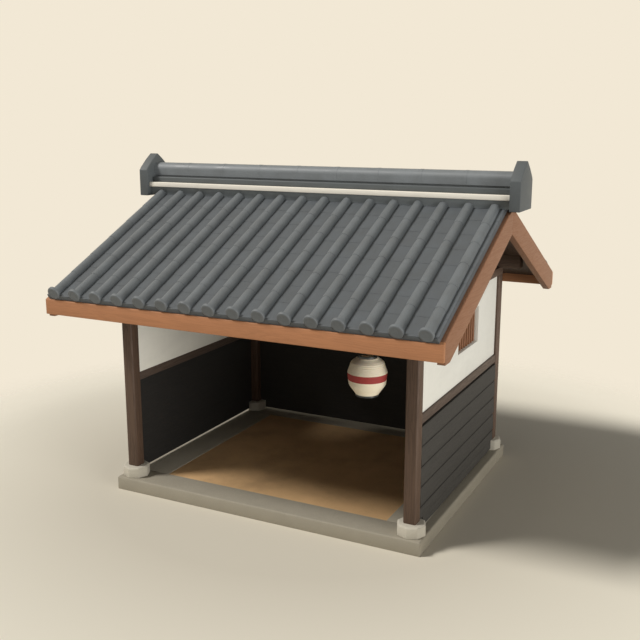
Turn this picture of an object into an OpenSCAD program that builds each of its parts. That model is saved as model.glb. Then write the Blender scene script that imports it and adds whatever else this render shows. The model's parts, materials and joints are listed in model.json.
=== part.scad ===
// Open-fronted shed for a hand-pulled cart: four posts on stones, plastered walls on three
// sides, a boarded lower wall, and a gabled roof bedded for tiles with a raised ridge.
// Millimetres. The origin is on the ground under the middle of the shed, +X is to the right
// along the ridge, +Y is to the back, and the open side faces -Y.

/* [Posts] */
// Width between post centres, left to right
post_span_x = 3030; // [2530:10:3640]
// Depth between post centres, front to back
post_span_y = 2412; // [2010:6:2900]
// Side of a square post
post_w = 120; // [90:5:150]
// Chamfer on the upright edges of a post
post_chamfer = 12; // [4:1:20]
// Height of the post tops above the ground
post_top = 2100; // [1750:10:2520]

/* [Base] */
// Height of the stone kerb
kerb_h = 135; // [100:5:180]
// Reach of the kerb past the post centres at the sides
kerb_out_x = 135; // [110:1:200]
// Reach of the kerb past the post centres at front and back
kerb_out_y = 144; // [110:1:200]
// Width of the side kerbs
kerb_w_side = 430; // [300:5:600]
// Width of the front and back kerbs
kerb_w_front = 285; // [240:5:400]
// Chamfer along the outer top edges of the kerb
kerb_chamfer = 10; // [3:1:20]
// Drop from the kerb top to the earth floor
floor_drop = 5; // [0:1:30]
// Corner radius of an eight-sided footing stone
footing_r = 135; // [100:1:150]
// Height of a footing stone
footing_h = 110; // [80:5:160]
// Chamfer round the top of a footing stone
footing_chamfer = 14; // [4:1:25]

/* [Walls] */
// Thickness of the plastered walls
plaster_t = 80; // [60:5:100]
// Depth of the plaster face behind the posts' outer faces
plaster_set_back = 30; // [15:1:35]
// Height of the underside of the middle rails
rail_bottom = 1137; // [900:1:1300]
// Height of a middle rail
rail_h = 85; // [60:5:120]
// Depth of a middle rail's face behind the posts' outer faces
rail_set_back = 10; // [4:1:14]
// Thickness of the board panels below the rails
board_t = 22; // [15:1:30]
// Depth of the panel face behind the posts' outer faces
board_set_back = 13; // [5:1:25]
// Open gap between the kerb and the boards
board_gap_bottom = 27; // [10:1:40]
// Open gap between the boards and the rail
board_gap_top = 25; // [10:1:40]
// Gap where the boards are scribed round a footing stone
scribe_gap = 3; // [1:1:8]

/* [Windows] */
// Distance of the window centres behind the middle of the side walls
window_back = 203; // [0:1:260]
// Width of a window opening
window_w = 642; // [400:2:760]
// Height of a window opening
window_h = 369; // [250:1:420]
// Height of the window sill above the middle rail
window_sill = 290; // [100:5:340]

/* [Roof frame] */
// Height of the side tie beams
tie_h = 80; // [60:5:120]
// Height of the wall beams at their middle
wall_beam_h = 114; // [90:1:150]
// Reach of the wall beams and ridge beam past the post centres
beam_out = 270; // [100:5:380]
// Height of the ridge beam
ridge_beam_h = 150; // [120:5:200]
// Side of a king post
king_post_w = 105; // [75:5:120]

/* [Roof] */
// Pitch of the roof in degrees
roof_pitch = 25.2; // [20:0.2:30]
// Reach of the fascia face past the post centres at the eaves
eave_out = 649; // [450:1:780]
// Reach of the bargeboard face past the post centres at the gables
verge_out = 468; // [400:1:560]
// Thickness of the roof deck
deck_t = 60; // [40:1:75]
// Thickness of a bargeboard
barge_t = 66; // [40:1:75]
// Depth of a bargeboard, square to its length
barge_depth = 219; // [160:1:260]
// Drop of a bargeboard's foot below the fascia
barge_drop = 26; // [0:1:40]
// Width of the opened joint at the peak of each pair of bargeboards
peak_gap = 10; // [2:1:16]
// Length of that opened joint
peak_gap_len = 83; // [40:1:90]
// Height of the opened joint above the boards' lower meeting point
peak_gap_up = 48; // [20:1:70]
// Thickness of a fascia board
fascia_t = 40; // [25:1:60]
// Height of a fascia board's outer face
fascia_h = 143; // [100:1:180]
// Thickness of the bedding layer that carries the tiles
tile_bed_t = 50; // [30:1:60]
// Inset of the bedding from the bargeboard faces
tile_bed_inset = 43; // [20:1:60]
// Hairline under each roof layer, so that neighbours on the slope never share volume
roof_seam = 0.05; // [0.02:0.01:0.2]
// Reach of the bedding past the fascia face
tile_bed_out = 10; // [0:1:30]

/* [Ridge] */
// Width of the ridge's base course
ridge_base_w = 260; // [200:5:320]
// Height of the base course's faces
ridge_base_h = 83; // [60:1:120]
// Width of the white plaster band
ridge_band_w = 350; // [280:5:400]
// Height of the white plaster band
ridge_band_h = 48; // [30:1:60]
// Width of the upper course
ridge_upper_w = 230; // [180:5:260]
// Height of the upper course
ridge_upper_h = 57; // [40:1:80]
// Radius of the round cap
ridge_cap_r = 75; // [60:1:85]
// Height of the cap's straight skirt
ridge_skirt_h = 76; // [20:1:90]
// Gap between the bargeboard faces and the ridge-end plates
ridge_end_gap = 10; // [2:1:30]
// Thickness of a ridge-end plate
end_plate_t = 102; // [70:1:130]
// Width of a ridge-end plate
end_plate_w = 416; // [380:2:460]
// Height of the plate's upright sides
end_plate_side = 274; // [220:2:320]
// Whole height of a ridge-end plate
end_plate_h = 447; // [440:1:500]
// Drop of the plate's foot below the peak of the roof boards
end_plate_drop = 19; // [0:1:40]

/* [Lantern] */
// Distance from the lantern's centre to the right-hand post's centre
lantern_in = 442; // [320:1:700]
// Drop of the hook's eye below the front beam
hook_drop = 205; // [120:1:260]
// Mean radius of the hook's eye
eye_r = 16; // [12:1:20]
// Radius of the iron wire
wire_r = 4; // [3:0.5:5]
// Running gap between the bail and the eye
wire_gap = 0.3; // [0.2:0.1:0.5]
// Height of the bail from the top hoop to its crown
bail_h = 250; // [200:1:300]
// Mean radius of the top hoop
top_hoop_r = 76; // [66:1:86]
// Radial width of both hoops
hoop_w = 20; // [14:1:24]
// Height of both hoops
hoop_h = 16; // [10:1:24]
// Mean radius of the bottom hoop
bottom_hoop_r = 94; // [80:1:110]
// Radius of the lantern at its shoulder
shoulder_r = 147; // [120:1:160]
// Largest radius of the lantern
belly_r = 178; // [165:1:200]
// Radius of the lantern below its coloured band
band_r = 165; // [145:1:175]
// Height of the paper from the bottom hoop to the band's lower corner
lower_h = 85; // [60:1:110]
// Height of the paper from that corner to the belly
band_rise = 114; // [80:1:140]
// Height of the paper from the belly to the shoulder
upper_h = 96; // [70:1:120]
// Height of the paper from the shoulder to the top hoop
crown_h = 34; // [20:1:50]
// Thickness of the paper and its ribs
paper_t = 5; // [3:0.5:8]

/* [Hidden] */

$fn = 64;
wire_fn = 32;
octagon_fn = 8;
cut_past = 10;

stone = [0.62, 0.60, 0.54];
light_stone = [0.75, 0.73, 0.67];
earth = [0.50, 0.38, 0.25];
dark_timber = [0.36, 0.28, 0.23];
rail_timber = [0.34, 0.28, 0.24];
cedar = [0.62, 0.41, 0.28];
charred = [0.24, 0.24, 0.23];
plaster = [0.88, 0.86, 0.80];
slate_grey = [0.40, 0.41, 0.42];
white_plaster = [0.95, 0.93, 0.87];
iron = [0.16, 0.16, 0.16];
paper = [0.88, 0.84, 0.74];

// Plan
post_x = post_span_x / 2;
post_y = post_span_y / 2;
face_x = post_x + post_w / 2;
face_y = post_y + post_w / 2;
bay_x = post_x - post_w / 2;
bay_y = post_y - post_w / 2;
kerb_x = post_x + kerb_out_x;
kerb_y = post_y + kerb_out_y;
floor_x = kerb_x - kerb_w_side;
floor_y = kerb_y - kerb_w_front;

// Heights
footing_top = kerb_h + footing_h;
rail_top = rail_bottom + rail_h;
tie_top = post_top + tie_h;

// Roof planes: roof_z gives the top of the deck at a distance y from the ridge line
pitch_tan = tan(roof_pitch);
deck_v = deck_t / cos(roof_pitch);
barge_v = barge_depth / cos(roof_pitch);
bed_v = tile_bed_t / cos(roof_pitch);
roof_peak = tie_top + wall_beam_h + deck_v + post_y * pitch_tan;
function roof_z(y) = roof_peak - y * pitch_tan;
function soffit_z(y) = roof_z(y) - deck_v;
function bed_z(y) = roof_z(y) + bed_v;
function beam_z(y) = soffit_z(y) - roof_seam;
fascia_y = post_y + eave_out;
fascia_back_y = fascia_y - fascia_t;
fascia_bottom = roof_z(fascia_y) - fascia_h;
barge_x = post_x + verge_out;
deck_x = barge_x - barge_t;
beam_x = post_x + beam_out;
ridge_beam_bottom = soffit_z(0) - ridge_beam_h;

// Ridge courses, from the bedding up
base_top = bed_z(ridge_base_w / 2) + ridge_base_h;
band_top = base_top + ridge_band_h;
upper_top = band_top + ridge_upper_h;
ridge_x = barge_x + ridge_end_gap;
end_plate_z = roof_peak - end_plate_drop;
shoulder_in = 28;
shoulder_up = 32;
crown_half = 92;
crown_down = 65;

// Lantern heights, from the front beam's underside down
lantern_x = post_x - lantern_in;
eye_z = tie_top - hook_drop;
bail_z = eye_z - eye_r + 2 * wire_r + wire_gap;
hoop_top = bail_z - bail_h;
paper_top = hoop_top - hoop_h;
shoulder_z = paper_top - crown_h;
belly_z = shoulder_z - upper_h;
band_z = belly_z - band_rise;
paper_bottom = band_z - lower_h;
rosette_r = 22;
rosette_t = 5;

// ---- Helpers ----

// A box between two corners
module block(low, high) {
  translate(low)
    cube(high - low);
}

// Extrudes an outline drawn in (y, z) along X
module along_x(x0, x1) {
  translate([x0, 0, 0])
    rotate([90, 0, 90])
      linear_extrude(x1 - x0)
        children();
}

// Extrudes an outline drawn in (x, z) along Y
module along_y(y0, y1) {
  translate([0, y1, 0])
    rotate([90, 0, 0])
      linear_extrude(y1 - y0)
        children();
}

// Turns a piece made for the right or back side to the left or front
module on_left() {
  mirror([1, 0, 0])
    children();
}

module on_front() {
  mirror([0, 1, 0])
    children();
}

module at_posts() {
  for (x = [-post_x, post_x], y = [-post_y, post_y])
    translate([x, y, 0])
      children();
}

// ---- Base ----

// Section of the whole kerb: a rectangle with its top corners cut off
module kerb_outline(half) {
  polygon([
    [-half, 0],
    [half, 0],
    [half, kerb_h - kerb_chamfer],
    [half - kerb_chamfer, kerb_h],
    [-half + kerb_chamfer, kerb_h],
    [-half, kerb_h - kerb_chamfer]
  ]);
}

module kerb_part(low, high) {
  color(stone)
    intersection() {
      along_x(-kerb_x, kerb_x)
        kerb_outline(kerb_y);
      along_y(-kerb_y, kerb_y)
        kerb_outline(kerb_x);
      block(low, high);
    }
}

module kerb_back() {
  kerb_part([-kerb_x, floor_y, 0], [kerb_x, kerb_y, kerb_h]);
}

module kerb_front() {
  on_front()
    kerb_back();
}

module kerb_right() {
  kerb_part([floor_x, -floor_y, 0], [kerb_x, floor_y, kerb_h]);
}

module kerb_left() {
  on_left()
    kerb_right();
}

module earth_floor() {
  color(earth)
    block([-floor_x, -floor_y, 0], [floor_x, floor_y, kerb_h - floor_drop]);
}

module footing_stones() {
  color(light_stone)
    at_posts() {
      translate([0, 0, kerb_h])
        cylinder(r = footing_r, h = footing_h - footing_chamfer, $fn = octagon_fn);
      translate([0, 0, footing_top - footing_chamfer])
        cylinder(r1 = footing_r, r2 = footing_r - footing_chamfer, h = footing_chamfer, $fn = octagon_fn);
    }
}

// ---- Timber frame ----

module post_section() {
  half = post_w / 2;
  cut = half - post_chamfer;
  polygon([
    [half, -cut], [half, cut], [cut, half], [-cut, half],
    [-half, cut], [-half, -cut], [-cut, -half], [cut, -half]
  ]);
}

module post(x, y) {
  color(dark_timber)
    translate([x, y, footing_top])
      linear_extrude(post_top - footing_top)
        post_section();
}

module post_front_left() {
  post(-post_x, -post_y);
}

module post_front_right() {
  post(post_x, -post_y);
}

module post_back_left() {
  post(-post_x, post_y);
}

module post_back_right() {
  post(post_x, post_y);
}

module tie_beam_right() {
  color(dark_timber)
    block([bay_x, -face_y, post_top], [face_x, face_y, tie_top]);
}

module tie_beam_left() {
  on_left()
    tie_beam_right();
}

// The wall beam's top is bevelled to the slope of the deck that lies on it
module wall_beam_back() {
  color(dark_timber)
    along_x(-beam_x, beam_x)
      polygon([
        [bay_y, tie_top],
        [face_y, tie_top],
        [face_y, beam_z(face_y)],
        [bay_y, beam_z(bay_y)]
      ]);
}

module wall_beam_front() {
  on_front()
    wall_beam_back();
}

module king_posts() {
  half = king_post_w / 2;
  color(dark_timber)
    for (x = [-post_x, post_x])
      block([x - half, -half, tie_top], [x + half, half, ridge_beam_bottom - roof_seam]);
}

module ridge_beam() {
  half = post_w / 2;
  color(dark_timber)
    along_x(-beam_x, beam_x)
      polygon([
        [-half, ridge_beam_bottom],
        [half, ridge_beam_bottom],
        [half, beam_z(half)],
        [0, beam_z(0)],
        [-half, beam_z(half)]
      ]);
}

// ---- Walls ----

module plaster_wall_right() {
  outer = face_x - plaster_set_back;
  sill = rail_top + window_sill;
  color(plaster)
    difference() {
      block([outer - plaster_t, -bay_y, rail_top], [outer, bay_y, post_top]);
      block(
        [outer - plaster_t - cut_past, window_back - window_w / 2, sill],
        [outer + cut_past, window_back + window_w / 2, sill + window_h]
      );
    }
}

module plaster_wall_left() {
  on_left()
    plaster_wall_right();
}

// The back wall runs up past the tie beams to the wall beam
module plaster_wall_back() {
  outer = face_y - plaster_set_back;
  color(plaster)
    block([-bay_x, outer - plaster_t, rail_top], [bay_x, outer, tie_top]);
}

// The rails carry the whole thickness of the plaster
module mid_rail_right() {
  inner = face_x - plaster_set_back - plaster_t;
  color(rail_timber)
    block([inner, -bay_y, rail_bottom], [face_x - rail_set_back, bay_y, rail_top]);
}

module mid_rail_left() {
  on_left()
    mid_rail_right();
}

module mid_rail_back() {
  inner = face_y - plaster_set_back - plaster_t;
  color(rail_timber)
    block([-bay_x, inner, rail_bottom], [bay_x, face_y - rail_set_back, rail_top]);
}

// Cuts the boards to the outline of the footing stones
module scribed() {
  color(charred)
    difference() {
      children();
      at_posts()
        cylinder(r = footing_r + scribe_gap, h = footing_top + scribe_gap, $fn = octagon_fn);
    }
}

module board_panel_right() {
  outer = face_x - board_set_back;
  scribed()
    block(
      [outer - board_t, -bay_y, kerb_h + board_gap_bottom],
      [outer, bay_y, rail_bottom - board_gap_top]
    );
}

module board_panel_left() {
  on_left()
    board_panel_right();
}

module board_panel_back() {
  outer = face_y - board_set_back;
  scribed()
    block(
      [-bay_x, outer - board_t, kerb_h + board_gap_bottom],
      [bay_x, outer, rail_bottom - board_gap_top]
    );
}

// ---- Roof ----

module roof_deck_back() {
  color(dark_timber)
    along_x(-deck_x, deck_x)
      polygon([
        [0, soffit_z(0)],
        [fascia_back_y, soffit_z(fascia_back_y)],
        [fascia_back_y, roof_z(fascia_back_y)],
        [0, roof_z(0)]
      ]);
}

module roof_deck_front() {
  on_front()
    roof_deck_back();
}

// A bargeboard meets its pair in an upright joint that has opened at its lower half,
// and its foot is cut level behind the fascia
module bargeboard_back_right() {
  foot_z = fascia_bottom - barge_drop;
  foot_y = (roof_peak - barge_v - foot_z) / pitch_tan;
  gap_low = roof_peak - barge_v + peak_gap_up;
  color(cedar)
    along_x(deck_x, barge_x)
      polygon([
        [0, roof_peak],
        [fascia_back_y, roof_z(fascia_back_y)],
        [fascia_back_y, foot_z],
        [foot_y, foot_z],
        [0, roof_peak - barge_v],
        [0, gap_low],
        [peak_gap / 2, gap_low],
        [0, gap_low + peak_gap_len]
      ]);
}

module bargeboard_back_left() {
  on_left()
    bargeboard_back_right();
}

module bargeboard_front_right() {
  on_front()
    bargeboard_back_right();
}

module bargeboard_front_left() {
  on_left()
    on_front()
      bargeboard_back_right();
}

module fascia_back() {
  color(cedar)
    along_x(-barge_x, barge_x)
      polygon([
        [fascia_back_y, fascia_bottom],
        [fascia_y, fascia_bottom],
        [fascia_y, roof_z(fascia_y)],
        [fascia_back_y, roof_z(fascia_back_y)]
      ]);
}

module fascia_front() {
  on_front()
    fascia_back();
}

module tile_bed_back() {
  half_x = barge_x - tile_bed_inset;
  eave_y = fascia_y + tile_bed_out;
  color(slate_grey)
    along_x(-half_x, half_x)
      polygon([
        [0, roof_z(0) + roof_seam],
        [eave_y, roof_z(eave_y) + roof_seam],
        [eave_y, bed_z(eave_y)],
        [0, bed_z(0)]
      ]);
}

module tile_bed_front() {
  on_front()
    tile_bed_back();
}

// ---- Ridge ----

// A level course of the ridge, from z0 to z1
module ridge_course(width, z0, z1) {
  block([-ridge_x, -width / 2, z0], [ridge_x, width / 2, z1]);
}

// The base course straddles the peak of the bedding
module ridge_base() {
  half = ridge_base_w / 2;
  color(slate_grey)
    along_x(-ridge_x, ridge_x)
      polygon([
        [0, bed_z(0) + roof_seam],
        [half, bed_z(half) + roof_seam],
        [half, base_top],
        [-half, base_top],
        [-half, bed_z(half) + roof_seam]
      ]);
}

module ridge_plaster_band() {
  color(white_plaster)
    ridge_course(ridge_band_w, base_top, band_top);
}

module ridge_upper_course() {
  color(slate_grey)
    ridge_course(ridge_upper_w, band_top, upper_top);
}

module ridge_cap() {
  color(slate_grey)
    along_x(-ridge_x, ridge_x) {
      translate([-ridge_cap_r, upper_top])
        square([2 * ridge_cap_r, ridge_skirt_h]);
      translate([0, upper_top + ridge_skirt_h])
        circle(r = ridge_cap_r);
    }
}

// Outline of a ridge-end plate: upright sides, cut shoulders and a low pointed crown
module end_plate_outline() {
  half = end_plate_w / 2;
  side = [
    [half, 0],
    [half, end_plate_side],
    [half - shoulder_in, end_plate_side + shoulder_up],
    [crown_half, end_plate_h - crown_down]
  ];
  other_side = [for (i = [len(side) - 1:-1:0]) [-side[i].x, side[i].y]];
  polygon(concat(side, [[0, end_plate_h]], other_side));
}

module ridge_end_plate_right() {
  color(slate_grey)
    translate([0, 0, end_plate_z])
      along_x(ridge_x, ridge_x + end_plate_t)
        end_plate_outline();
}

module ridge_end_plate_left() {
  on_left()
    ridge_end_plate_right();
}

// ---- Lantern ----

// Turns an outline drawn in (radius, height) round the lantern's own axis
module at_lantern() {
  translate([lantern_x, -post_y, 0])
    children();
}

module hoop(mean_r, z0) {
  translate([0, 0, z0])
    rotate_extrude()
      translate([mean_r - hoop_w / 2, 0])
        square([hoop_w, hoop_h]);
}

module lantern_hook() {
  shank_top = tie_top - rosette_t;
  color(iron)
    at_lantern() {
      translate([0, 0, shank_top])
        cylinder(r = rosette_r, h = rosette_t, $fn = wire_fn);
      translate([0, 0, eye_z + eye_r])
        cylinder(r = wire_r, h = shank_top - eye_z - eye_r, $fn = wire_fn);
      translate([0, 0, eye_z])
        rotate([0, 90, 0])
          rotate_extrude()
            translate([eye_r, 0])
              circle(r = wire_r, $fn = wire_fn);
    }
}

// The bail is an arch of wire whose crown hangs in the hook's eye
module lantern_bail() {
  arch_z = bail_z - top_hoop_r;
  color(iron)
    at_lantern() {
      hoop(top_hoop_r, paper_top);
      for (x = [-top_hoop_r, top_hoop_r])
        translate([x, 0, hoop_top])
          cylinder(r = wire_r, h = arch_z - hoop_top, $fn = wire_fn);
      translate([0, 0, arch_z])
        rotate([90, 0, 0])
          rotate_extrude(angle = 180)
            translate([top_hoop_r, 0])
              circle(r = wire_r, $fn = wire_fn);
    }
}

module lantern_paper() {
  top_r = top_hoop_r + hoop_w / 2;
  bottom_r = bottom_hoop_r + hoop_w / 2;
  color(paper)
    at_lantern()
      rotate_extrude()
        polygon([
          [bottom_r - paper_t, paper_bottom],
          [bottom_r, paper_bottom],
          [band_r, band_z],
          [belly_r, belly_z],
          [shoulder_r, shoulder_z],
          [top_r, paper_top],
          [top_r - paper_t, paper_top],
          [shoulder_r - paper_t, shoulder_z - paper_t],
          [belly_r - paper_t, belly_z],
          [band_r - paper_t, band_z]
        ]);
}

module lantern_foot() {
  color(iron)
    at_lantern()
      hoop(bottom_hoop_r, paper_bottom - hoop_h);
}

kerb_front();
kerb_back();
kerb_left();
kerb_right();
earth_floor();
footing_stones();
post_front_left();
post_front_right();
post_back_left();
post_back_right();
tie_beam_left();
tie_beam_right();
wall_beam_front();
wall_beam_back();
king_posts();
ridge_beam();
plaster_wall_left();
plaster_wall_right();
plaster_wall_back();
mid_rail_left();
mid_rail_right();
mid_rail_back();
board_panel_left();
board_panel_right();
board_panel_back();
roof_deck_front();
roof_deck_back();
bargeboard_front_left();
bargeboard_front_right();
bargeboard_back_left();
bargeboard_back_right();
fascia_front();
fascia_back();
tile_bed_front();
tile_bed_back();
ridge_base();
ridge_plaster_band();
ridge_upper_course();
ridge_cap();
ridge_end_plate_left();
ridge_end_plate_right();
lantern_hook();
lantern_bail();
lantern_paper();
lantern_foot();
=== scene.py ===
import bpy
import bmesh
import json
import math
import random
from mathutils import Matrix, Vector

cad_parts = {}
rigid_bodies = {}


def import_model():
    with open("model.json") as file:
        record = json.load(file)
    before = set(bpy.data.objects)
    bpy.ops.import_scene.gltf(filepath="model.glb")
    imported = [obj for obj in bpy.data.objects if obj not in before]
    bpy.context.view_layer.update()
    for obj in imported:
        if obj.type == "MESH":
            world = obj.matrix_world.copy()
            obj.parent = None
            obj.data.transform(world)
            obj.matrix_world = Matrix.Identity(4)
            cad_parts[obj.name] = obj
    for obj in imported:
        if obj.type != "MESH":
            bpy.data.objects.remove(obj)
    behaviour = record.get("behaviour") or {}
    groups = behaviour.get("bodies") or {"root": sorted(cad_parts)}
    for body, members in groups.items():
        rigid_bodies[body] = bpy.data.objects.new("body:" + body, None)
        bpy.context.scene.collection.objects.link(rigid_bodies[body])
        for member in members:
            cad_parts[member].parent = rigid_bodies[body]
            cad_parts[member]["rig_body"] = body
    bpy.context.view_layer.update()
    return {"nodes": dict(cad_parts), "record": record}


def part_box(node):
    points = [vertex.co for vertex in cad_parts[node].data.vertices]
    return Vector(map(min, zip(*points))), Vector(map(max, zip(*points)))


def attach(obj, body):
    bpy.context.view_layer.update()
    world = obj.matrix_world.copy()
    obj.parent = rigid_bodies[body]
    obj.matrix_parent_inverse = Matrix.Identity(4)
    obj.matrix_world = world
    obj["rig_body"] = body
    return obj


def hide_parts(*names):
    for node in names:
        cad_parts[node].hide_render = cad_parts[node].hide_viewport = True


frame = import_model()
print("frame loaded")


# small helpers

def srgb(r, g, b, a=1.0):
    # 0-255 screen colour to linear
    def lin(c):
        c = c / 255
        return c / 12.92 if c <= 0.04045 else ((c + 0.055) / 1.055) ** 2.4
    return (lin(r), lin(g), lin(b), a)


def turnTo(axis, degrees):
    return Matrix.Rotation(math.radians(degrees), 4, axis)


def makeObject(name, bm, material, body="shed", smooth=False):
    mesh = bpy.data.meshes.new(name)
    bm.to_mesh(mesh)
    bm.free()
    mesh.materials.append(material)
    obj = bpy.data.objects.new(name, mesh)
    bpy.context.scene.collection.objects.link(obj)
    if smooth:
        for poly in mesh.polygons:
            poly.use_smooth = True
    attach(obj, body)
    return obj


def smoothByAngle(obj, degrees=35):
    for poly in obj.data.polygons:
        poly.use_smooth = True
    obj.data.set_sharp_from_angle(angle=math.radians(degrees))


def addBlock(bm, low, high, bevel=0.0, segments=2, turn=None):
    # one box between two corners, its edges rounded, turned about its centre
    low, high = Vector(low), Vector(high)
    made = bmesh.ops.create_cube(bm, size=1.0)
    verts = made["verts"]
    bmesh.ops.scale(bm, vec=high - low, verts=verts)
    if bevel:
        edges = list({e for v in verts for e in v.link_edges})
        cut = bmesh.ops.bevel(bm, geom=edges, offset=bevel, segments=segments, profile=0.5,
                              affect="EDGES", material=-1, clamp_overlap=True)
        verts = list({v for f in cut["faces"] for v in f.verts} | {v for v in verts if v.is_valid})
    if turn:
        bmesh.ops.transform(bm, matrix=turn, verts=verts)
    bmesh.ops.translate(bm, vec=(low + high) / 2, verts=verts)
    return verts


def softenNode(node, material, width=0.004, segments=2, angle=20):
    # a copy of the node with its edges eased stands for it
    source = frame["nodes"][node]
    bm = bmesh.new()
    bm.from_mesh(source.data)
    bmesh.ops.remove_doubles(bm, verts=bm.verts, dist=0.00002)
    flat = [e for e in bm.edges if len(e.link_faces) == 2 and e.calc_face_angle(0) < math.radians(1)]
    bmesh.ops.dissolve_edges(bm, edges=flat, use_verts=True)
    sharp = [e for e in bm.edges if len(e.link_faces) == 2 and e.calc_face_angle(0) > math.radians(angle)]
    bmesh.ops.bevel(bm, geom=sharp, offset=width, segments=segments, profile=0.5,
                    affect="EDGES", material=-1, clamp_overlap=True)
    body = source["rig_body"]
    obj = makeObject(node + "_finish", bm, material, body)
    smoothByAngle(obj, 50)
    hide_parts(node)
    return obj


# material helpers

def newMaterial(name):
    mat = bpy.data.materials.new(name)
    mat.use_nodes = True
    tree = mat.node_tree
    shader = tree.nodes["Principled BSDF"]
    coord = tree.nodes.new("ShaderNodeTexCoord")
    return mat, tree, shader, coord.outputs["Object"]


def mapping(tree, coord, scale=(1, 1, 1), turn=(0, 0, 0)):
    node = tree.nodes.new("ShaderNodeMapping")
    node.inputs["Scale"].default_value = scale
    node.inputs["Rotation"].default_value = turn
    tree.links.new(coord, node.inputs["Vector"])
    return node.outputs["Vector"]


def noise(tree, vector, scale, detail=4.0, rough=0.55, distortion=0.0):
    node = tree.nodes.new("ShaderNodeTexNoise")
    node.inputs["Scale"].default_value = scale
    node.inputs["Detail"].default_value = detail
    node.inputs["Roughness"].default_value = rough
    node.inputs["Distortion"].default_value = distortion
    tree.links.new(vector, node.inputs["Vector"])
    return node.outputs["Fac"]


def ramp(tree, value, stops):
    node = tree.nodes.new("ShaderNodeValToRGB")
    points = node.color_ramp.elements
    while len(points) < len(stops):
        points.new(0.5)
    for point, (pos, colour) in zip(points, stops):
        point.position = pos
        point.color = colour
    tree.links.new(value, node.inputs["Fac"])
    return node.outputs["Color"]


def mixColour(tree, fac, a, b, mode="MIX"):
    node = tree.nodes.new("ShaderNodeMix")
    node.data_type = "RGBA"
    node.blend_type = mode
    for value, socket in ((fac, node.inputs[0]), (a, node.inputs[6]), (b, node.inputs[7])):
        if hasattr(value, "is_linked"):
            tree.links.new(value, socket)
        else:
            socket.default_value = value
    return node.outputs[2]


def span(tree, value, low, high, to0=0.0, to1=1.0):
    node = tree.nodes.new("ShaderNodeMapRange")
    node.inputs["From Min"].default_value = low
    node.inputs["From Max"].default_value = high
    node.inputs["To Min"].default_value = to0
    node.inputs["To Max"].default_value = to1
    tree.links.new(value, node.inputs["Value"])
    return node.outputs["Result"]


def calc(tree, kind, a, b=None):
    node = tree.nodes.new("ShaderNodeMath")
    node.operation = kind
    for value, socket in ((a, node.inputs[0]), (b, node.inputs[1])):
        if value is None:
            continue
        if hasattr(value, "is_linked"):
            tree.links.new(value, socket)
        else:
            socket.default_value = value
    return node.outputs[0]


def bump(tree, shader, height, distance, strength=1.0):
    node = tree.nodes.new("ShaderNodeBump")
    node.inputs["Distance"].default_value = distance
    node.inputs["Strength"].default_value = strength
    tree.links.new(height, node.inputs["Height"])
    tree.links.new(node.outputs["Normal"], shader.inputs["Normal"])


def tint(colour, factor):
    return tuple(min(1.0, c * factor) for c in colour[:3]) + (1.0,)


# timber: rings cut lengthwise, with pores, along x, y or z
def timber(name, colour, along, contrast=0.28, gloss=0.62, boards=None):
    mat, tree, shader, coord = newMaterial(name)
    stretch = {"x": (0.35, 6, 6), "y": (6, 0.35, 6), "z": (6, 6, 0.35)}[along]
    vector = mapping(tree, coord, stretch)
    broad = noise(tree, vector, 3.2, 6, 0.6, 0.6)
    rings = calc(tree, "SINE", calc(tree, "MULTIPLY", broad, 46))
    rings = span(tree, rings, -1, 1)
    pores = noise(tree, mapping(tree, coord, tuple(s * 6 for s in stretch)), 9, 3, 0.6)
    grain = calc(tree, "ADD", calc(tree, "MULTIPLY", rings, 0.55), calc(tree, "MULTIPLY", pores, 0.45))
    blotch = noise(tree, coord, 1.4, 3)
    dark = tint(colour, 1 - contrast)
    light = tint(colour, 1 + contrast * 0.55)
    base = ramp(tree, grain, [(0.15, dark), (0.5, colour), (0.9, light)])
    base = mixColour(tree, span(tree, blotch, 0.35, 0.7, 0.0, 0.45), base, tint(colour, 0.8))
    height = grain
    if boards:
        # dark seams between boards, across the given axis
        axis, pitch = boards
        split = tree.nodes.new("ShaderNodeSeparateXYZ")
        tree.links.new(coord, split.inputs[0])
        where = calc(tree, "FRACT", calc(tree, "DIVIDE", calc(tree, "ADD", split.outputs[axis], 50.0), pitch))
        edge = calc(tree, "MINIMUM", where, calc(tree, "SUBTRACT", 1.0, where))
        seam = span(tree, edge, 0.0, 0.016, 0.0, 1.0)
        base = mixColour(tree, seam, tint(colour, 0.25), base)
        height = calc(tree, "ADD", calc(tree, "MULTIPLY", grain, 0.2), seam)
    tree.links.new(base, shader.inputs["Base Color"])
    tree.links.new(span(tree, grain, 0, 1, gloss + 0.12, gloss - 0.06), shader.inputs["Roughness"])
    bump(tree, shader, height, 0.0016, 0.6)
    return mat


def stoneFinish(name, colour, speckle=0.16, gritScale=180):
    mat, tree, shader, coord = newMaterial(name)
    grit = noise(tree, coord, gritScale, 3, 0.7)
    cloud = noise(tree, coord, 3.5, 5, 0.6)
    chips = noise(tree, coord, 26, 6, 0.65)
    base = ramp(tree, grit, [(0.3, tint(colour, 1 - speckle * 1.5)), (0.5, colour), (0.72, tint(colour, 1 + speckle))])
    base = mixColour(tree, span(tree, cloud, 0.38, 0.68, 0.0, 0.55), base, tint(colour, 0.84))
    tree.links.new(base, shader.inputs["Base Color"])
    shader.inputs["Roughness"].default_value = 0.86
    height = calc(tree, "ADD", calc(tree, "MULTIPLY", chips, 0.8), calc(tree, "MULTIPLY", grit, 0.2))
    bump(tree, shader, height, 0.004, 0.6)
    return mat


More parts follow.
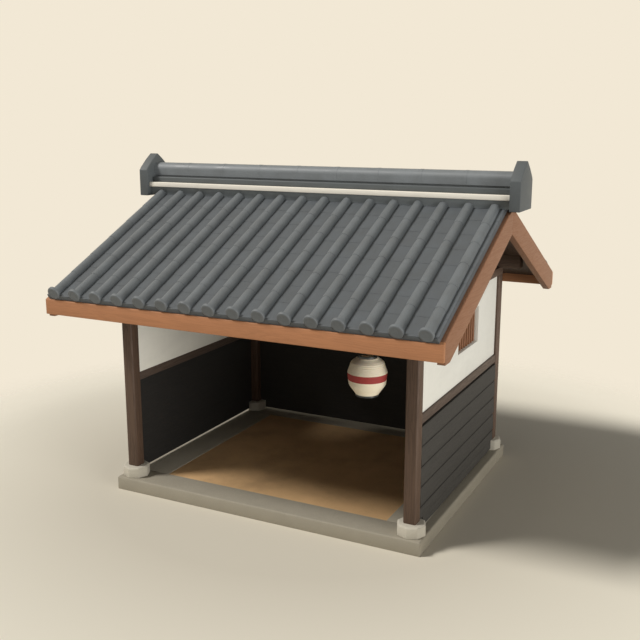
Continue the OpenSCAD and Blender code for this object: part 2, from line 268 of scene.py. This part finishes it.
def plasterFinish(name, colour, trowel=0.5):
    mat, tree, shader, coord = newMaterial(name)
    sweep = noise(tree, mapping(tree, coord, (1, 1, 1.8)), 5, 5, 0.6, 0.8)
    sand = noise(tree, coord, 240, 2, 0.6)
    stain = noise(tree, mapping(tree, coord, (2.2, 2.2, 0.6)), 1.6, 5, 0.6)
    base = ramp(tree, sweep, [(0.3, tint(colour, 0.965)), (0.6, colour), (0.8, tint(colour, 1.02))])
    base = mixColour(tree, span(tree, stain, 0.5, 0.8, 0.0, 0.35), base, tint(colour, 0.88))
    tree.links.new(base, shader.inputs["Base Color"])
    shader.inputs["Roughness"].default_value = 0.92
    height = calc(tree, "ADD", calc(tree, "MULTIPLY", sweep, trowel), calc(tree, "MULTIPLY", sand, 0.12))
    bump(tree, shader, height, 0.006, 0.5)
    return mat


def earthFinish():
    colour = srgb(204, 166, 119)
    mat, tree, shader, coord = newMaterial("tampedEarth")
    grit = noise(tree, coord, 130, 4, 0.7)
    patch = noise(tree, coord, 2.6, 6, 0.62)
    base = ramp(tree, patch, [(0.3, tint(colour, 0.8)), (0.5, colour), (0.72, tint(colour, 1.12))])
    base = mixColour(tree, span(tree, grit, 0.45, 0.75, 0, 0.5), base, tint(colour, 0.7))
    tree.links.new(base, shader.inputs["Base Color"])
    shader.inputs["Roughness"].default_value = 0.95
    bump(tree, shader, calc(tree, "ADD", grit, calc(tree, "MULTIPLY", patch, 2)), 0.004, 0.6)
    return mat


def tileFinish(name, colour, gloss=0.5):
    # smoked clay: a silvery sheen that changes from tile to tile
    mat, tree, shader, coord = newMaterial(name)
    bloom = noise(tree, coord, 5.5, 5, 0.6)
    fine = noise(tree, coord, 90, 3, 0.6)
    base = ramp(tree, bloom, [(0.28, tint(colour, 0.84)), (0.52, colour), (0.75, tint(colour, 1.16))])
    base = mixColour(tree, span(tree, fine, 0.4, 0.7, 0, 0.25), base, tint(colour, 0.78))
    tree.links.new(base, shader.inputs["Base Color"])
    tree.links.new(span(tree, bloom, 0.3, 0.7, gloss - 0.08, gloss + 0.12), shader.inputs["Roughness"])
    bump(tree, shader, fine, 0.0012, 0.5)
    return mat


def charredFinish(name, colour, along):
    mat, tree, shader, coord = newMaterial(name)
    stretch = {"x": (0.5, 7, 9), "y": (7, 0.5, 9)}[along]
    grain = noise(tree, mapping(tree, coord, stretch), 7, 6, 0.65, 0.4)
    crackle = tree.nodes.new("ShaderNodeTexVoronoi")
    crackle.feature = "DISTANCE_TO_EDGE"
    crackle.inputs["Scale"].default_value = 38
    squeeze = {"x": (0.45, 1, 1), "y": (1, 0.45, 1)}[along]
    tree.links.new(mapping(tree, coord, squeeze), crackle.inputs["Vector"])
    cracks = span(tree, crackle.outputs["Distance"], 0.0, 0.12)
    base = ramp(tree, grain, [(0.25, tint(colour, 0.7)), (0.5, colour), (0.8, tint(colour, 1.35))])
    base = mixColour(tree, span(tree, cracks, 0, 1, 0.45, 0.0), base, tint(colour, 0.45))
    tree.links.new(base, shader.inputs["Base Color"])
    shader.inputs["Roughness"].default_value = 0.8
    bump(tree, shader, calc(tree, "ADD", grain, calc(tree, "MULTIPLY", cracks, 0.5)), 0.0022, 0.7)
    return mat


def ironFinish(name, colour, rough):
    mat, tree, shader, coord = newMaterial(name)
    wear = noise(tree, coord, 60, 4, 0.6)
    base = ramp(tree, wear, [(0.35, tint(colour, 0.8)), (0.7, tint(colour, 1.5))])
    tree.links.new(base, shader.inputs["Base Color"])
    shader.inputs["Metallic"].default_value = 0.2
    shader.inputs["Roughness"].default_value = rough
    bump(tree, shader, wear, 0.0006, 0.5)
    return mat


def paperFinish(name, colour):
    mat, tree, shader, coord = newMaterial(name)
    fibre = noise(tree, mapping(tree, coord, (1, 1, 3)), 55, 6, 0.7, 1.0)
    cloud = noise(tree, coord, 9, 3)
    base = ramp(tree, fibre, [(0.3, tint(colour, 0.9)), (0.6, colour)])
    base = mixColour(tree, span(tree, cloud, 0.4, 0.7, 0, 0.3), base, tint(colour, 0.93))
    tree.links.new(base, shader.inputs["Base Color"])
    shader.inputs["Roughness"].default_value = 0.75
    shader.inputs["Subsurface Weight"].default_value = 0.12
    shader.inputs["Subsurface Radius"].default_value = (0.02, 0.014, 0.008)
    bump(tree, shader, fibre, 0.0008, 0.5)
    return mat


darkTimberColour = srgb(84, 64, 50)
railColour = srgb(80, 66, 57)
cedarColour = srgb(182, 125, 85)
gableCedarColour = srgb(147, 104, 76)

mats = {
    "kerb": stoneFinish("kerbStone", srgb(156, 149, 133)),
    "footing": stoneFinish("footingStone", srgb(196, 190, 175), 0.1, 220),
    "earth": earthFinish(),
    "postTimber": timber("postTimber", darkTimberColour, "z"),
    "beamTimberX": timber("beamTimberX", darkTimberColour, "x"),
    "beamTimberY": timber("beamTimberY", darkTimberColour, "y"),
    "deckTimber": timber("deckTimber", tint(darkTimberColour, 0.95), "y", boards=(0, 0.182)),
    "railTimberX": timber("railTimberX", railColour, "x"),
    "railTimberY": timber("railTimberY", railColour, "y"),
    "cedarX": timber("cedarX", cedarColour, "x", 0.10, 0.6),
    "cedarY": timber("cedarY", gableCedarColour, "y", 0.08, 0.6),
    "cedarZ": timber("cedarZ", srgb(140, 94, 63), "z", 0.18, 0.6),
    "charredX": charredFinish("charredX", srgb(50, 48, 46), "x"),
    "charredY": charredFinish("charredY", srgb(54, 52, 49), "y"),
    # a darker copy of the charred boards for the board panels: painted shade for the dim inside of the shed and the
    # gaps under the weatherboards
    "shadeDarkCharredX": charredFinish("shadeDarkCharredX", srgb(31, 29, 27), "x"),
    "shadeDarkCharredY": charredFinish("shadeDarkCharredY", srgb(31, 29, 27), "y"),
    "wallPlaster": plasterFinish("wallPlaster", srgb(236, 234, 224)),
    "ridgePlaster": plasterFinish("ridgePlaster", srgb(253, 246, 231), 0.3),
    "pan": tileFinish("panTile", srgb(90, 95, 99), 0.6),
    "roll": tileFinish("rollTile", srgb(106, 111, 114), 0.5),
    "ridgeTile": tileFinish("ridgeTile", srgb(84, 89, 91), 0.6),
    "cap": tileFinish("capTile", srgb(120, 125, 128), 0.48),
    # the ridge foot is a lighter copy of the smoked clay: painted light that lifts the shade under the plaster band
    "ridgeFoot": tileFinish("ridgeFootTile", srgb(138, 144, 147), 0.5),
    "iron": ironFinish("forgedIron", srgb(40, 40, 42), 0.5),
    "lacquer": ironFinish("blackLacquer", srgb(46, 50, 50), 0.35),
    "paper": paperFinish("lanternPaper", srgb(246, 234, 208)),
    "redBand": paperFinish("redBand", srgb(160, 58, 54)),
}
print("materials ready")


# base

def buildBase():
    for side in ("front", "back", "left", "right"):
        softenNode("kerb_" + side, mats["kerb"], 0.005, 2)
    stones = softenNode("footing_stones", mats["footing"], 0.006, 3, 15)
    return stones


def buildFloor():
    # beaten earth: the top is gently uneven and worn in two tracks by the wheels
    tracks = {"gap": 1.07, "width": 0.09, "depth": 0.006, "rough": 0.004}
    low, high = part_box("earth_floor")
    bm = bmesh.new()
    addBlock(bm, low, high)
    top = [f for f in bm.faces if f.normal.z > 0.9]
    ring = list({e for f in top for e in f.edges})
    bmesh.ops.subdivide_edges(bm, edges=ring, cuts=70, use_grid_fill=True)
    shake = random.Random(4)
    phases = [(shake.uniform(1.5, 9), shake.uniform(1.5, 9), shake.uniform(0, 6)) for _ in range(9)]
    for v in bm.verts:
        if v.co.z < high.z - 1e-4:
            continue
        rim = min(v.co.x - low.x, high.x - v.co.x, v.co.y - low.y, high.y - v.co.y)
        if rim < 0.005:
            continue
        wave = sum(math.sin(v.co.x * a + v.co.y * b + c) for a, b, c in phases) / 9
        rut = sum(math.exp(-((v.co.x - s * tracks["gap"] / 2) / tracks["width"]) ** 2) for s in (-1, 1))
        ease = min(1.0, rim / 0.12)
        v.co.z += ease * (tracks["rough"] * wave - tracks["depth"] * rut)
    floor = makeObject("earth_floor_finish", bm, mats["earth"])
    smoothByAngle(floor, 30)
    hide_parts("earth_floor")
    return floor


# timber frame

def buildTimbers():
    for depth in ("front", "back"):
        for side in ("left", "right"):
            softenNode("post_%s_%s" % (depth, side), mats["postTimber"], 0.002, 2, 30)
            softenNode("bargeboard_%s_%s" % (depth, side), mats["cedarY"], 0.006, 3)
        softenNode("wall_beam_" + depth, mats["beamTimberX"], 0.004, 2)
        softenNode("fascia_" + depth, mats["cedarX"], 0.006, 3)
        frame["nodes"]["roof_deck_" + depth].data.materials[0] = mats["deckTimber"]
    for side in ("left", "right"):
        softenNode("tie_beam_" + side, mats["beamTimberY"], 0.004, 2)
        softenNode("mid_rail_" + side, mats["railTimberY"], 0.004, 2)
    softenNode("mid_rail_back", mats["railTimberX"], 0.004, 2)
    softenNode("king_posts", mats["postTimber"], 0.004, 2)
    softenNode("ridge_beam", mats["beamTimberX"], 0.004, 2)


# walls

def buildWalls():
    for side in ("left", "right", "back"):
        softenNode("plaster_wall_" + side, mats["wallPlaster"], 0.003, 2)
        # the board panels take the darker charred copy: painted shade inside the shed and behind the weatherboard gaps
        look = mats["shadeDarkCharredX"] if side == "back" else mats["shadeDarkCharredY"]
        frame["nodes"]["board_panel_" + side].data.materials[0] = look


def buildWeatherboards(side):
    # charred boards, each thicker at its lower edge, with a gap under it; the gap is dark from real shadow and from
    # the painted-shade panel behind
    boards = {"courses": 5, "line": 0.025, "thickTop": 0.006, "thickFoot": 0.0128}
    low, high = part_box("board_panel_" + side)
    back = side == "back"
    pitch = (high.z - low.z) / boards["courses"]
    half = (high.x - low.x if back else high.y - low.y) / 2 - 0.001
    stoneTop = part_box("footing_stones")[1].z + 0.004
    stoneIn = 0.069  # how far the stones reach in front of the boards' ends
    bm = bmesh.new()
    for i in range(boards["courses"]):
        bottom = low.z + i * pitch + boards["line"] * (i > 0)
        top = low.z + (i + 1) * pitch
        pieces = [(bottom, top, half)]
        if bottom < stoneTop:
            pieces = [(bottom, stoneTop, half - stoneIn), (stoneTop, top, half)]
        for a, b, reach in pieces:
            made = bmesh.ops.create_cube(bm, size=1.0)["verts"]
            bmesh.ops.scale(bm, vec=(reach * 2, 1, b - a), verts=made)
            bmesh.ops.translate(bm, vec=(0, 0.5, (a + b) / 2), verts=made)
            for v in made:
                share = (v.co.z - bottom) / (top - bottom)
                v.co.y *= boards["thickFoot"] + (boards["thickTop"] - boards["thickFoot"]) * share
    edges = [e for e in bm.edges if abs(e.verts[0].co.x - e.verts[1].co.x) > 0.5]
    bmesh.ops.bevel(bm, geom=edges, offset=0.0035, segments=2, profile=0.5,
                    affect="EDGES", material=-1, clamp_overlap=True)
    # the boards are drawn facing +y, then turned to their wall
    if back:
        place = Matrix.Translation((0, high.y, 0))
    else:
        sign = 1 if side == "right" else -1
        face = high.x if side == "right" else low.x
        place = Matrix.Translation((face, 0, 0)) @ turnTo("Z", -90 * sign)
    bmesh.ops.transform(bm, matrix=place, verts=bm.verts)
    look = mats["charredX"] if back else mats["charredY"]
    obj = makeObject("weatherboards_" + side, bm, look)
    smoothByAngle(obj, 40)
    return obj


def buildWindowBars(side):
    # upright square bars let into the sill and head, with two rails behind them
    bars = {"count": 9, "wide": 0.030, "deep": 0.028, "set": 0.036, "railHigh": 0.03}
    wallLow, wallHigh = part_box("plaster_wall_" + side)
    opening = next(o for o in frame["record"]["physics"]["openings"] if o["name"] == "window_" + side)
    (x0, y0, z0), (x1, y1, z1) = opening["box_m"]
    y0, y1, z0, z1 = y0 - 0.001, y1 + 0.001, z0 - 0.001, z1 + 0.001
    sign = 1 if side == "right" else -1
    outer = wallHigh.x if side == "right" else -wallLow.x
    front = outer - bars["set"]
    bm = bmesh.new()
    pitch = (y1 - y0) / bars["count"]
    for i in range(bars["count"]):
        y = y0 + (i + 0.5) * pitch
        addBlock(bm, (front - bars["deep"], y - bars["wide"] / 2, z0),
                 (front, y + bars["wide"] / 2, z1), 0.003)
    for z in (z0 + bars["railHigh"] / 2, z1 - bars["railHigh"] / 2):
        addBlock(bm, (front - bars["deep"] - 0.014, y0, z - bars["railHigh"] / 2),
                 (front - bars["deep"], y1, z + bars["railHigh"] / 2), 0.002)
    if sign < 0:
        bmesh.ops.scale(bm, vec=(-1, 1, 1), verts=bm.verts)
        bmesh.ops.reverse_faces(bm, faces=bm.faces)
    obj = makeObject("window_bars_" + side, bm, mats["cedarZ"])
    smoothByAngle(obj, 40)
    return obj


# roof

bedLow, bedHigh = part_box("tile_bed_back")
roof = {
    "rolls": 16,
    "spacing": 0.2465,
    "radius": 0.0465,
    "lift": 0.013,
    "discRadius": 0.0635,
    "discLift": 0.027,
    "tileLength": 0.30,
    "topAt": 0.142,
}


def slopeFrame():
    # pitch of the bedding, read from its top surface
    pan = frame["nodes"]["tile_bed_back"].data
    top = [v.co for v in pan.vertices if abs(v.co.y) < 1e-4]
    eave = [v.co for v in pan.vertices if abs(v.co.y - bedHigh.y) < 1e-4]
    ridgeZ = max(c.z for c in top)
    eaveZ = max(c.z for c in eave)
    return ridgeZ, (ridgeZ - eaveZ) / bedHigh.y


ridgeZ, slope = slopeFrame()
pitchAngle = math.atan(slope)


def onSlope(bm, verts=None):
    # from a flat layout (x, run down the slope, height off the bedding) to the back slope
    place = Matrix.Translation((0, 0, ridgeZ)) @ Matrix.Rotation(-pitchAngle, 4, "X")
    bmesh.ops.transform(bm, matrix=place, verts=verts or bm.verts)


def toFront(bm):
    bmesh.ops.rotate(bm, cent=(0, 0, 0), matrix=Matrix.Rotation(math.pi, 3, "Z"), verts=bm.verts)


def buildRolls(depth):
    # half-buried round tiles, each lapping the next
    bm = bmesh.new()
    start = roof["topAt"] / math.cos(pitchAngle)
    end = bedHigh.y / math.cos(pitchAngle)
    count = round((end - start) / roof["tileLength"])
    step = (end - start) / count
    for i in range(roof["rolls"]):
        x = (i - (roof["rolls"] - 1) / 2) * roof["spacing"]
        for k in range(count):
            wide = roof["radius"]
            tail = bmesh.ops.create_cone(bm, cap_ends=True, segments=24, radius1=wide + 0.0012,
                                         radius2=wide - 0.0012, depth=step + 0.012)["verts"]
            bmesh.ops.rotate(bm, cent=(0, 0, 0), matrix=Matrix.Rotation(math.pi / 2, 3, "X"), verts=tail)
            bmesh.ops.translate(bm, vec=(x, start + (k + 0.5) * step - 0.006, roof["lift"]), verts=tail)
    onSlope(bm)
    if depth == "front":
        toFront(bm)
    obj = makeObject("tile_rolls_" + depth, bm, mats["roll"])
    smoothByAngle(obj, 40)
    return obj


def discProfile(bm, radius, thick):
    # a flat rim round a shallow dish with a low boss, spun about +y
    outline = [(0.0, 0.004), (0.34, 0.0035), (0.62, 0.002), (0.66, 0.003), (0.86, 0.0025), (0.95, 0.0), (1.0, -0.006)]
    points = [Vector((r * radius, thick + y, 0)) for r, y in outline]
    points.append(Vector((radius, 0, 0)))
    points.append(Vector((0, 0, 0)))
    verts = [bm.verts.new(p) for p in points]
    edges = [bm.edges.new(pair) for pair in zip(verts, verts[1:])]
    made = bmesh.ops.spin(bm, geom=verts + edges, cent=(0, 0, 0), axis=(0, 1, 0), dvec=(0, 0, 0),
                          angle=math.tau, steps=28, use_merge=True, use_duplicate=False)
    return made


def buildEaveDiscs(depth):
    bm = bmesh.new()
    discProfile(bm, roof["discRadius"], 0.024)
    bmesh.ops.remove_doubles(bm, verts=bm.verts, dist=0.00005)
    bmesh.ops.recalc_face_normals(bm, faces=bm.faces)
    disc = list(bm.verts)
    run = bedHigh.y / math.cos(pitchAngle) - 0.010
    first = -(roof["rolls"] - 1) / 2 * roof["spacing"]
    bmesh.ops.translate(bm, vec=(first, run, roof["discLift"]), verts=disc)
    source = list(bm.verts) + list(bm.edges) + list(bm.faces)
    for i in range(1, roof["rolls"]):
        copy = bmesh.ops.duplicate(bm, geom=source)["geom"]
        verts = [g for g in copy if isinstance(g, bmesh.types.BMVert)]
        bmesh.ops.translate(bm, vec=(i * roof["spacing"], 0, 0), verts=verts)
    onSlope(bm)
    if depth == "front":
        toFront(bm)
    obj = makeObject("eave_discs_" + depth, bm, mats["roll"])
    smoothByAngle(obj, 40)
    return obj


def buildPans(depth):
    # shallow tiles between the rolls on a bed of clay, with a turned-down lip at the eave
    pans = {"course": 0.235, "rise": 0.0016, "dish": 0.006, "lipDeep": 0.028, "lipThick": 0.008}
    bm = bmesh.new()
    halfX = bedHigh.x
    thick = (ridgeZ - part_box("roof_deck_back")[1].z) * math.cos(pitchAngle) - 0.0001
    end = bedHigh.y / math.cos(pitchAngle)
    top = -0.001
    clay = [Vector((-halfX, run, up)) for run, up in
            ((-thick * slope, -thick), (end, -thick), (end, top), (top * slope, top))]
    face = bm.faces.new([bm.verts.new(p) for p in clay])
    grown = bmesh.ops.extrude_face_region(bm, geom=[face])["geom"]
    bmesh.ops.translate(bm, vec=(halfX * 2, 0, 0), verts=[g for g in grown if isinstance(g, bmesh.types.BMVert)])
    start = 0.10 / math.cos(pitchAngle)
    count = round((end - start) / pans["course"])
    step = (end - start) / count
    rollsAt = [(i - (roof["rolls"] - 1) / 2) * roof["spacing"] for i in range(roof["rolls"])]
    edgesX = [-halfX] + rollsAt + [halfX]
    for a, b in zip(edgesX, edgesX[1:]):
        narrow = b - a < roof["spacing"] * 0.9
        for k in range(count):
            y0, y1 = start + k * step, start + (k + 1) * step
            made = bmesh.ops.create_grid(bm, x_segments=1 if narrow else 6, y_segments=1, size=0.5)["verts"]
            bmesh.ops.scale(bm, vec=(b - a, step, 1), verts=made)
            bmesh.ops.translate(bm, vec=((a + b) / 2, (y0 + y1) / 2, 0), verts=made)
            for v in made:
                down = (v.co.y - y0) / step
                across = (v.co.x - a) / (b - a) * 2 - 1
                v.co.z = pans["rise"] * down + 0.0005
                if not narrow:
                    v.co.z += pans["dish"] * across * across
            rim = [e for e in {e for v in made for e in v.link_edges} if e.is_boundary]
            skirt = bmesh.ops.extrude_edge_only(bm, edges=rim)["geom"]
            for v in skirt:
                if isinstance(v, bmesh.types.BMVert):
                    v.co.z = -0.004
        inset0 = 0.0 if narrow and a < 0 else roof["discRadius"] - 0.004
        inset1 = 0.0 if narrow and a > 0 else roof["discRadius"] - 0.004
        addBlock(bm, (a + inset0, end - 0.004, -pans["lipDeep"]),
                 (b - inset1, end + pans["lipThick"], 0.006), 0.004, 3)
    bmesh.ops.recalc_face_normals(bm, faces=bm.faces)
    onSlope(bm)
    if depth == "front":
        toFront(bm)
    obj = makeObject("pan_tiles_" + depth, bm, mats["pan"])
    smoothByAngle(obj, 30)
    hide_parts("tile_bed_" + depth)
    return obj


def buildRidge():
    # the ridge foot's lighter colour is painted light against the shade under the plaster band
    softenNode("ridge_base", mats["ridgeFoot"], 0.004, 2)
    softenNode("ridge_plaster_band", mats["ridgePlaster"], 0.006, 3)
    softenNode("ridge_upper_course", mats["ridgeTile"], 0.010, 3)
    for side in ("left", "right"):
        softenNode("ridge_end_plate_" + side, mats["ridgeTile"], 0.008, 3, 12)

def buildCap():
    # round cover tiles along the ridge, each with a raised collar where it laps the next
    tiles = {"length": 0.42, "collar": 0.0016, "collarLong": 0.03, "footIn": 0.016, "footHigh": 0.018}
    low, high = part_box("ridge_cap")
    radius = high.y
    centreZ = high.z - radius
    count = round((high.x - low.x) / tiles["length"])
    step = (high.x - low.x) / count
    bm = bmesh.new()
    outline = []
    for i in range(25):
        a = math.pi * i / 24
        outline.append((radius * math.cos(a), centreZ + radius * math.sin(a)))
    # the tiles stand on a narrower foot, which leaves a shadow line over the course below
    foot, heel = radius - tiles["footIn"], low.z + tiles["footHigh"]
    outline = [(foot, low.z), (foot, heel), (radius, heel)] + outline
    outline += [(-radius, heel), (-foot, heel), (-foot, low.z)]
    for k in range(count):
        x0 = low.x + k * step
        for a, b, grow in ((x0, x0 + step - tiles["collarLong"], -tiles["collar"]),
                           (x0 + step - tiles["collarLong"], x0 + step, 0.0)):
            ring = []
            for y, z in outline:
                size = (radius + grow) / radius
                ring.append(bm.verts.new((a, y * size, low.z + (z - low.z) * (1 + grow / (high.z - low.z)))))
            face = bm.faces.new(ring)
            out = bmesh.ops.extrude_face_region(bm, geom=[face])["geom"]
            bmesh.ops.translate(bm, vec=(b - a, 0, 0), verts=[g for g in out if isinstance(g, bmesh.types.BMVert)])
    bmesh.ops.recalc_face_normals(bm, faces=bm.faces)
    obj = makeObject("ridge_cap_tiles", bm, mats["cap"])
    smoothByAngle(obj, 40)
    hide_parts("ridge_cap")
    return obj


# lantern

def buildLantern():
    look = {"ribs": 22, "ribOut": 0.0022, "steps": 72}
    low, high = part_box("lantern_paper")
    cx, cy = (low.x + high.x) / 2, (low.y + high.y) / 2
    mesh = frame["nodes"]["lantern_paper"].data
    rings = {}
    for v in mesh.vertices:
        r = math.hypot(v.co.x - cx, v.co.y - cy)
        key = round(v.co.z, 4)
        rings[key] = max(rings.get(key, 0), r)
    heights = sorted(rings)
    outer = [(z, rings[z]) for z in heights]

    def radiusAt(z):
        for (za, ra), (zb, rb) in zip(outer, outer[1:]):
            if za <= z <= zb:
                return ra + (rb - ra) * (z - za) / (zb - za)
        return outer[-1][1]

    belly = max(outer, key=lambda p: p[1])
    bandTop = belly[0] - 0.004
    bandBottom = bandTop - 0.066
    bm = bmesh.new()
    count = look["ribs"] * 6
    profile = []
    for i in range(count + 1):
        z = low.z + (high.z - low.z) * i / count
        spread = 0.012  # the paper rounds off the corners of its form
        near = [radiusAt(min(high.z, max(low.z, z + d * spread))) for d in (-1, -0.5, 0, 0.5, 1)]
        r = sum(near) / 5 if low.z + spread < z < high.z - spread else radiusAt(z)
        rib = abs(math.sin(math.pi * i / 6))
        profile.append((r - look["ribOut"] * rib, z))
    verts = [bm.verts.new((cx + r, cy, z)) for r, z in profile]
    edges = [bm.edges.new(pair) for pair in zip(verts, verts[1:])]
    bmesh.ops.spin(bm, geom=verts + edges, cent=(cx, cy, 0), axis=(0, 0, 1), dvec=(0, 0, 0),
                   angle=math.tau, steps=look["steps"], use_merge=True, use_duplicate=False)
    bmesh.ops.remove_doubles(bm, verts=bm.verts, dist=0.00005)
    bmesh.ops.recalc_face_normals(bm, faces=bm.faces)
    if sum(f.normal.x * (f.calc_center_median().x - cx) for f in bm.faces) < 0:
        bmesh.ops.reverse_faces(bm, faces=bm.faces)
    bmesh.ops.solidify(bm, geom=bm.faces[:], thickness=0.0016)
    obj = makeObject("lantern_paper_skin", bm, mats["paper"], "lantern", True)
    obj.data.materials.append(mats["redBand"])
    for poly in obj.data.polygons:
        if bandBottom < poly.center.z < bandTop:
            poly.material_index = 1
    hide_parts("lantern_paper")
    for node, look2 in (("lantern_bail", "lacquer"), ("lantern_foot", "lacquer"), ("lantern_hook", "iron")):
        frame["nodes"][node].data.materials[0] = mats[look2]
    return obj


# stage, light and camera

def buildStage():
    backdrop = srgb(242, 232, 213)
    bm = bmesh.new()
    bmesh.ops.create_circle(bm, cap_ends=True, segments=96, radius=40)
    mesh = bpy.data.meshes.new("studio_floor")
    bm.to_mesh(mesh)
    bm.free()
    floor = bpy.data.objects.new("studio_floor", mesh)
    floor.location.z = -0.0005
    bpy.context.scene.collection.objects.link(floor)
    mat = bpy.data.materials.new("studioFloor")
    mat.use_nodes = True
    tree = mat.node_tree
    tree.nodes.clear()
    out = tree.nodes.new("ShaderNodeOutputMaterial")
    diffuse = tree.nodes.new("ShaderNodeBsdfDiffuse")
    clear = tree.nodes.new("ShaderNodeBsdfTransparent")
    mix = tree.nodes.new("ShaderNodeMixShader")
    coord = tree.nodes.new("ShaderNodeTexCoord")
    length = tree.nodes.new("ShaderNodeVectorMath")
    length.operation = "LENGTH"
    tree.links.new(coord.outputs["Object"], length.inputs[0])
    # painted light: the floor's colour grows paler from 2.3 m to 4.5 m out, so the lit floor brightens into the
    # backdrop
    paler = span(tree, length.outputs["Value"], 2.3, 4.5)
    near, far = (0.70, 0.65, 0.54, 1), (0.97, 0.92, 0.78, 1)
    tree.links.new(mixColour(tree, paler, near, far), diffuse.inputs["Color"])
    fade = tree.nodes.new("ShaderNodeMapRange")
    fade.interpolation_type = "SMOOTHSTEP"
    fade.inputs["From Min"].default_value = 3.8
    fade.inputs["From Max"].default_value = 5.8
    tree.links.new(length.outputs["Value"], fade.inputs["Value"])
    tree.links.new(fade.outputs["Result"], mix.inputs[0])
    tree.links.new(diffuse.outputs[0], mix.inputs[1])
    tree.links.new(clear.outputs[0], mix.inputs[2])
    tree.links.new(mix.outputs[0], out.inputs[0])
    mesh.materials.append(mat)

    world = bpy.data.worlds.new("studioAir")
    bpy.context.scene.world = world
    world.use_nodes = True
    tree = world.node_tree
    tree.nodes.clear()
    out = tree.nodes.new("ShaderNodeOutputWorld")
    seen = tree.nodes.new("ShaderNodeBackground")
    seen.inputs["Color"].default_value = backdrop
    glow = tree.nodes.new("ShaderNodeBackground")
    glow.inputs["Color"].default_value = (1.0, 0.98, 0.95, 1)
    glow.inputs["Strength"].default_value = 0.10
    path = tree.nodes.new("ShaderNodeLightPath")
    either = tree.nodes.new("ShaderNodeMath")
    either.operation = "MAXIMUM"
    both = tree.nodes.new("ShaderNodeMath")
    both.operation = "MAXIMUM"
    mix = tree.nodes.new("ShaderNodeMixShader")
    tree.links.new(path.outputs["Is Camera Ray"], either.inputs[0])
    tree.links.new(path.outputs["Is Glossy Ray"], either.inputs[1])
    tree.links.new(either.outputs[0], both.inputs[0])
    tree.links.new(path.outputs["Is Transmission Ray"], both.inputs[1])
    tree.links.new(both.outputs[0], mix.inputs[0])
    tree.links.new(glow.outputs[0], mix.inputs[1])
    tree.links.new(seen.outputs[0], mix.inputs[2])
    tree.links.new(mix.outputs[0], out.inputs[0])


def addLamp(name, kind, energy, colour, turn, place=(0, 0, 8), size=None):
    lamp = bpy.data.lights.new(name, kind)
    lamp.energy = energy
    lamp.color = colour
    if kind == "SUN":
        lamp.angle = math.radians(size)
    else:
        lamp.size = size
    obj = bpy.data.objects.new(name, lamp)
    obj.location = place
    obj.rotation_euler = turn
    bpy.context.scene.collection.objects.link(obj)
    return obj


def aimed(direction):
    return Vector(direction).to_track_quat("-Z", "Y").to_euler()


def buildLights():
    addLamp("keySun", "SUN", 2.75, (1.0, 0.975, 0.94), aimed((0.62, 0.42, -0.78)), size=15)
    addLamp("fillSun", "SUN", 2.2, (1.0, 0.985, 0.955), aimed((-0.92, 0.30, -0.06)), size=45)


def buildCamera():
    view = {"place": (4.06525, -8.07409, 3.71863), "yaw": 0.46622, "pitch": -0.22203, "lens": 50}
    data = bpy.data.cameras.new("mainCamera")
    data.lens = view["lens"]
    data.sensor_width = 36
    data.clip_end = 200
    camera = bpy.data.objects.new("mainCamera", data)
    camera.location = view["place"]
    camera.rotation_euler = (math.pi / 2 + view["pitch"], 0, view["yaw"])
    bpy.context.scene.collection.objects.link(camera)
    bpy.context.scene.camera = camera


bpy.context.scene.view_settings.view_transform = "Standard"
buildCamera()
buildStage()
buildLights()
print("camera and stage ready")
buildBase()
buildFloor()
buildTimbers()
buildWalls()
for side in ("left", "right", "back"):
    buildWeatherboards(side)
for side in ("left", "right"):
    buildWindowBars(side)
print("walls built")
for depth in ("front", "back"):
    buildRolls(depth)
    buildEaveDiscs(depth)
    buildPans(depth)
buildRidge()
buildCap()
print("roof built")
buildLantern()
print("lantern built")
